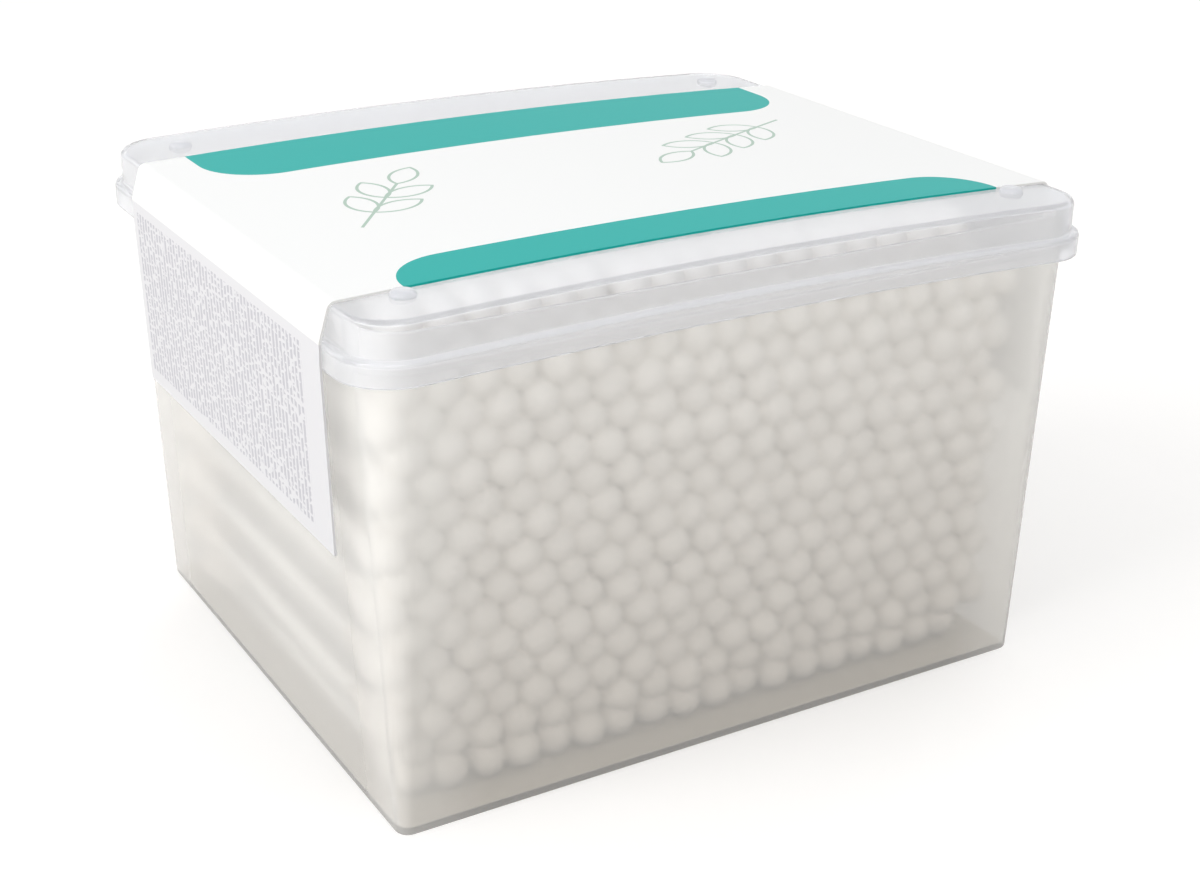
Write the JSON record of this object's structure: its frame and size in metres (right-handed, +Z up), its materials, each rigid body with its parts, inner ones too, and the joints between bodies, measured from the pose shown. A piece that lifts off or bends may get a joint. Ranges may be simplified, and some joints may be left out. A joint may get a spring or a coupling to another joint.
{
  "type": "cotton swab box",
  "caption": "Tapered frosted plastic tub with a lift-off lid and a printed band, full of cotton swabs in staggered rows.",
  "frame": {"origin": "middle of the tub's underside, on the surface it stands on", "axes": "+X along the long front, +Y from the front to the back, +Z up"},
  "size_m": [0.112, 0.0934, 0.0715],
  "materials": {
    "frosted_plastic": "frosted translucent",
    "label": "satin printed",
    "cotton": "matt"
  },
  "bodies": {
    "tub": {"tub": "frosted_plastic", "swab_row_01": "cotton", "swab_row_02": "cotton", "swab_row_03": "cotton", "swab_row_04": "cotton", "swab_row_05": "cotton", "swab_row_06": "cotton", "swab_row_07": "cotton", "swab_row_08": "cotton", "swab_row_09": "cotton", "swab_row_10": "cotton", "swab_row_11": "cotton", "swab_row_12": "cotton", "swab_row_13": "cotton", "swab_row_14": "cotton", "swab_row_15": "cotton", "swab_row_16": "cotton"},
    "lid": {"lid": "frosted_plastic", "label_band": "label"}
  },
  "joints": [
    {"name": "lid_lift", "type": "slide", "parent": "tub", "child": "lid", "axis": [0, 0, 1], "range_m": [0, 0.04]}
  ]
}
